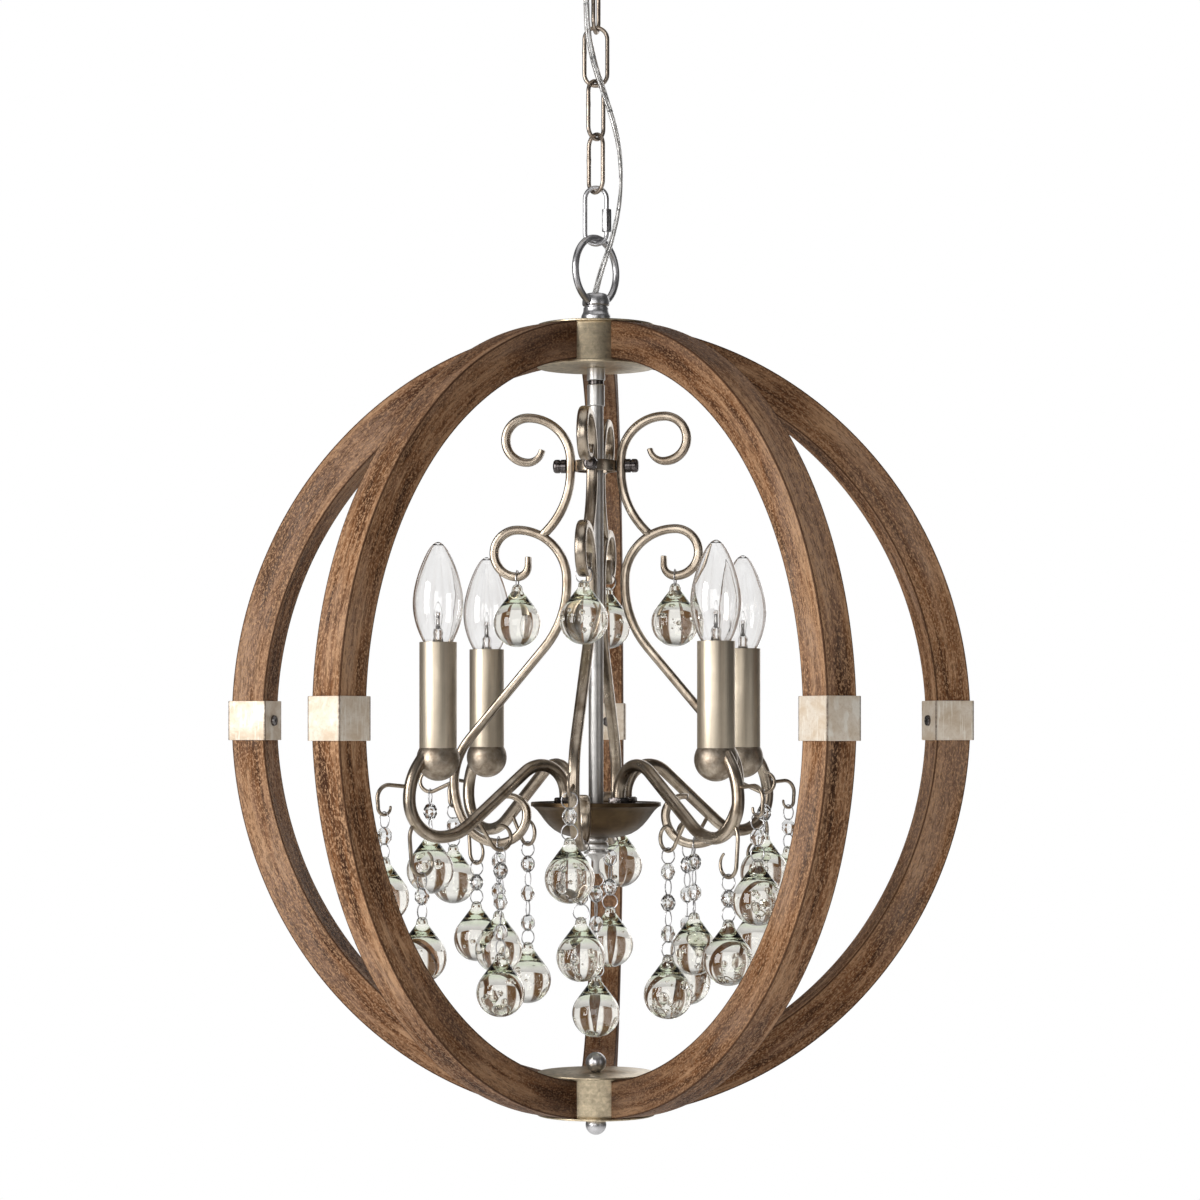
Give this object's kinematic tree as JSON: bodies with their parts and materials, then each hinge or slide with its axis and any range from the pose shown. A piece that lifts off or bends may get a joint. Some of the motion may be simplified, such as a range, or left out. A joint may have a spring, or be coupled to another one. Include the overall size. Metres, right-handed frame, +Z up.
{
  "type": "globe pendant light",
  "caption": "Globe pendant light of bent wooden ribs round a scrolled candle chandelier hung with glass drops, on a chain and canopy.",
  "frame": {"origin": "on the ceiling, at the middle of the crossbar's two screw slots, on the pendant's axis", "axes": "+Z up into the ceiling; -Y towards the viewer of the picture; X along the crossbar"},
  "size_m": [0.5502, 0.5292, 0.8832],
  "materials": {
    "canopy_metal": "satin champagne plate",
    "bracket_steel": "zinc plate",
    "cord_jacket": "clear flexible jacket",
    "bushing_plastic": "moulded",
    "chain_metal": "antique nickel",
    "link_steel": "bright plate",
    "hub_metal": "antique champagne",
    "rib_wood": "distressed, waxed",
    "collar_leaf": "champagne leaf",
    "dark_screw": "dark bronze",
    "scroll_iron": "antique champagne pewter",
    "sleeve_satin": "satin champagne",
    "holder_plastic": "moulded",
    "bulb_glass": "clear",
    "drop_glass": "clear, seeded"
  },
  "bodies": {
    "canopy": {"canopy": "canopy_metal", "canopy_crossbar": "bracket_steel", "canopy_loop": "canopy_metal", "canopy_nuts": "canopy_metal", "cord_bushing": "bushing_plastic", "power_cord": "cord_jacket"},
    "chain_link_1": {"chain_link_1": "chain_metal"},
    "chain_link_2": {"chain_link_2": "chain_metal"},
    "chain_link_3": {"chain_link_3": "chain_metal"},
    "chain_link_4": {"chain_link_4": "chain_metal"},
    "quick_link": {"quick_link": "link_steel"},
    "quick_link_nut": {"quick_link_nut": "link_steel"},
    "hanging_ring": {"hanging_ring": "link_steel"},
    "lantern": {"loop_knuckle": "link_steel", "rib_hubs": "hub_metal", "rib_arcs": "rib_wood", "rib_collars": "collar_leaf", "collar_screws": "dark_screw", "hub_ball_nuts": "link_steel", "stem_rod": "bracket_steel", "stem_covers": "scroll_iron", "scrolls": "scroll_iron", "scroll_bracket": "scroll_iron", "fixing_nuts": "dark_screw", "bowl": "scroll_iron", "arm_plate": "scroll_iron", "bowl_finial": "scroll_iron", "candle_arms": "scroll_iron", "candle_cups": "scroll_iron", "candle_sleeves": "sleeve_satin", "lamp_holders": "holder_plastic"},
    "bulb_1": {"bulb_1": "bulb_glass"},
    "bulb_2": {"bulb_2": "bulb_glass"},
    "bulb_3": {"bulb_3": "bulb_glass"},
    "bulb_4": {"bulb_4": "bulb_glass"},
    "upper_drop_1": {"upper_drop_1": "drop_glass"},
    "upper_drop_2": {"upper_drop_2": "drop_glass"},
    "upper_drop_3": {"upper_drop_3": "drop_glass"},
    "upper_drop_4": {"upper_drop_4": "drop_glass"},
    "scroll_drop_1": {"scroll_drop_1": "drop_glass"},
    "scroll_drop_2": {"scroll_drop_2": "drop_glass"},
    "scroll_drop_3": {"scroll_drop_3": "drop_glass"},
    "scroll_drop_4": {"scroll_drop_4": "drop_glass"},
    "loop_drop_1": {"loop_drop_1": "drop_glass"},
    "loop_drop_2": {"loop_drop_2": "drop_glass"},
    "loop_drop_3": {"loop_drop_3": "drop_glass"},
    "loop_drop_4": {"loop_drop_4": "drop_glass"},
    "elbow_drop_1": {"elbow_drop_1": "drop_glass"},
    "elbow_drop_2": {"elbow_drop_2": "drop_glass"},
    "elbow_drop_3": {"elbow_drop_3": "drop_glass"},
    "elbow_drop_4": {"elbow_drop_4": "drop_glass"},
    "outer_drop_1": {"outer_drop_1": "drop_glass"},
    "outer_drop_2": {"outer_drop_2": "drop_glass"},
    "outer_drop_3": {"outer_drop_3": "drop_glass"},
    "outer_drop_4": {"outer_drop_4": "drop_glass"},
    "inner_drop_1": {"inner_drop_1": "drop_glass"},
    "inner_drop_2": {"inner_drop_2": "drop_glass"},
    "inner_drop_3": {"inner_drop_3": "drop_glass"},
    "inner_drop_4": {"inner_drop_4": "drop_glass"},
    "center_drop": {"center_drop": "drop_glass"}
  },
  "joints": [
    {"name": "link_1_swing", "type": "hinge", "parent": "canopy", "child": "chain_link_1", "pos_m": [0, 0, -0.0587], "axis": [1, 0, 0], "range_deg": [-10, 10], "deforming": ["power_cord"]},
    {"name": "link_2_swing", "type": "hinge", "parent": "chain_link_1", "child": "chain_link_2", "pos_m": [0, 0, -0.0958], "axis": [0.225, 0.9744, 0], "range_deg": [-10, 10]},
    {"name": "link_3_swing", "type": "hinge", "parent": "chain_link_2", "child": "chain_link_3", "pos_m": [0, 0, -0.1339], "axis": [1, 0, 0], "range_deg": [-10, 10]},
    {"name": "link_4_swing", "type": "hinge", "parent": "chain_link_3", "child": "chain_link_4", "pos_m": [0, 0, -0.172], "axis": [0.6561, 0.7547, 0], "range_deg": [-10, 10]},
    {"name": "quick_link_swing", "type": "hinge", "parent": "chain_link_4", "child": "quick_link", "pos_m": [0, 0, -0.2101], "axis": [0.6157, -0.788, 0], "range_deg": [-10, 10]},
    {"name": "ring_swing", "type": "hinge", "parent": "quick_link", "child": "hanging_ring", "pos_m": [0, 0, -0.2472], "axis": [1, 0, 0], "range_deg": [-10, 10]},
    {"name": "lantern_swing", "type": "hinge", "parent": "hanging_ring", "child": "lantern", "pos_m": [0, 0, -0.2898], "axis": [0.6157, 0.788, 0], "range_deg": [-10, 10]},
    {"name": "sleeve_nut_turn", "type": "hinge", "parent": "quick_link", "child": "quick_link_nut", "pos_m": [0.0077, 0, -0.23015], "axis": [0, 0, 1], "continuous": true},
    {"name": "bulb_1_turn", "type": "hinge", "parent": "lantern", "child": "bulb_1", "pos_m": [0.10861, 0.08185, -0.5569], "axis": [0, 0, 1], "continuous": true},
    {"name": "bulb_2_turn", "type": "hinge", "parent": "lantern", "child": "bulb_2", "pos_m": [-0.08185, 0.10861, -0.5569], "axis": [0, 0, 1], "continuous": true},
    {"name": "bulb_3_turn", "type": "hinge", "parent": "lantern", "child": "bulb_3", "pos_m": [-0.10861, -0.08185, -0.5569], "axis": [0, 0, 1], "continuous": true},
    {"name": "bulb_4_turn", "type": "hinge", "parent": "lantern", "child": "bulb_4", "pos_m": [0.08185, -0.10861, -0.5569], "axis": [0, 0, 1], "continuous": true},
    {"name": "upper_drop_1_swing", "type": "hinge", "parent": "lantern", "child": "upper_drop_1", "pos_m": [0.05639, -0.00833, -0.4843], "axis": [0.9893, -0.1461, 0], "range_deg": [-12, 12]},
    {"name": "upper_drop_2_swing", "type": "hinge", "parent": "lantern", "child": "upper_drop_2", "pos_m": [0.00833, 0.05639, -0.4843], "axis": [0.1461, 0.9893, 0], "range_deg": [-12, 12]},
    {"name": "upper_drop_3_swing", "type": "hinge", "parent": "lantern", "child": "upper_drop_3", "pos_m": [-0.05639, 0.00833, -0.4843], "axis": [-0.9893, 0.1461, 0], "range_deg": [-12, 12]},
    {"name": "upper_drop_4_swing", "type": "hinge", "parent": "lantern", "child": "upper_drop_4", "pos_m": [-0.00833, -0.05639, -0.4843], "axis": [-0.1461, -0.9893, 0], "range_deg": [-12, 12]},
    {"name": "scroll_drop_1_swing", "type": "hinge", "parent": "lantern", "child": "scroll_drop_1", "pos_m": [0.11928, -0.01761, -0.6384], "axis": [0.9893, -0.1461, 0], "range_deg": [-12, 12]},
    {"name": "scroll_drop_2_swing", "type": "hinge", "parent": "lantern", "child": "scroll_drop_2", "pos_m": [0.01761, 0.11928, -0.6384], "axis": [0.1461, 0.9893, 0], "range_deg": [-12, 12]},
    {"name": "scroll_drop_3_swing", "type": "hinge", "parent": "lantern", "child": "scroll_drop_3", "pos_m": [-0.11928, 0.01761, -0.6384], "axis": [-0.9893, 0.1461, 0], "range_deg": [-12, 12]},
    {"name": "scroll_drop_4_swing", "type": "hinge", "parent": "lantern", "child": "scroll_drop_4", "pos_m": [-0.01761, -0.11928, -0.6384], "axis": [-0.1461, -0.9893, 0], "range_deg": [-12, 12]},
    {"name": "loop_drop_1_swing", "type": "hinge", "parent": "lantern", "child": "loop_drop_1", "pos_m": [0.06983, -0.01031, -0.67511], "axis": [0.9893, -0.1461, 0], "range_deg": [-12, 12]},
    {"name": "loop_drop_2_swing", "type": "hinge", "parent": "lantern", "child": "loop_drop_2", "pos_m": [0.01031, 0.06983, -0.67511], "axis": [0.1461, 0.9893, 0], "range_deg": [-12, 12]},
    {"name": "loop_drop_3_swing", "type": "hinge", "parent": "lantern", "child": "loop_drop_3", "pos_m": [-0.06983, 0.01031, -0.67511], "axis": [-0.9893, 0.1461, 0], "range_deg": [-12, 12]},
    {"name": "loop_drop_4_swing", "type": "hinge", "parent": "lantern", "child": "loop_drop_4", "pos_m": [-0.01031, -0.06983, -0.67511], "axis": [-0.1461, -0.9893, 0], "range_deg": [-12, 12]},
    {"name": "elbow_drop_1_swing", "type": "hinge", "parent": "lantern", "child": "elbow_drop_1", "pos_m": [0.14383, 0.10839, -0.65193], "axis": [0.7986, 0.6018, 0], "range_deg": [-12, 12]},
    {"name": "elbow_drop_2_swing", "type": "hinge", "parent": "lantern", "child": "elbow_drop_2", "pos_m": [-0.10839, 0.14383, -0.65193], "axis": [-0.6018, 0.7986, 0], "range_deg": [-12, 12]},
    {"name": "elbow_drop_3_swing", "type": "hinge", "parent": "lantern", "child": "elbow_drop_3", "pos_m": [-0.14383, -0.10839, -0.65193], "axis": [-0.7986, -0.6018, 0], "range_deg": [-12, 12]},
    {"name": "elbow_drop_4_swing", "type": "hinge", "parent": "lantern", "child": "elbow_drop_4", "pos_m": [0.10839, -0.14383, -0.65193], "axis": [0.6018, -0.7986, 0], "range_deg": [-12, 12]},
    {"name": "outer_drop_1_swing", "type": "hinge", "parent": "lantern", "child": "outer_drop_1", "pos_m": [0.11922, 0.08984, -0.69398], "axis": [0.7986, 0.6018, 0], "range_deg": [-12, 12]},
    {"name": "outer_drop_2_swing", "type": "hinge", "parent": "lantern", "child": "outer_drop_2", "pos_m": [-0.08984, 0.11922, -0.69398], "axis": [-0.6018, 0.7986, 0], "range_deg": [-12, 12]},
    {"name": "outer_drop_3_swing", "type": "hinge", "parent": "lantern", "child": "outer_drop_3", "pos_m": [-0.11922, -0.08984, -0.69398], "axis": [-0.7986, -0.6018, 0], "range_deg": [-12, 12]},
    {"name": "outer_drop_4_swing", "type": "hinge", "parent": "lantern", "child": "outer_drop_4", "pos_m": [0.08984, -0.11922, -0.69398], "axis": [0.6018, -0.7986, 0], "range_deg": [-12, 12]},
    {"name": "inner_drop_1_swing", "type": "hinge", "parent": "lantern", "child": "inner_drop_1", "pos_m": [0.06656, 0.05015, -0.678], "axis": [0.7986, 0.6018, 0], "range_deg": [-12, 12]},
    {"name": "inner_drop_2_swing", "type": "hinge", "parent": "lantern", "child": "inner_drop_2", "pos_m": [-0.05015, 0.06656, -0.678], "axis": [-0.6018, 0.7986, 0], "range_deg": [-12, 12]},
    {"name": "inner_drop_3_swing", "type": "hinge", "parent": "lantern", "child": "inner_drop_3", "pos_m": [-0.06656, -0.05015, -0.678], "axis": [-0.7986, -0.6018, 0], "range_deg": [-12, 12]},
    {"name": "inner_drop_4_swing", "type": "hinge", "parent": "lantern", "child": "inner_drop_4", "pos_m": [0.05015, -0.06656, -0.678], "axis": [0.6018, -0.7986, 0], "range_deg": [-12, 12]},
    {"name": "center_drop_swing", "type": "hinge", "parent": "lantern", "child": "center_drop", "pos_m": [0, 0, -0.6945], "axis": [0, -1, 0], "range_deg": [-12, 12]}
  ]
}
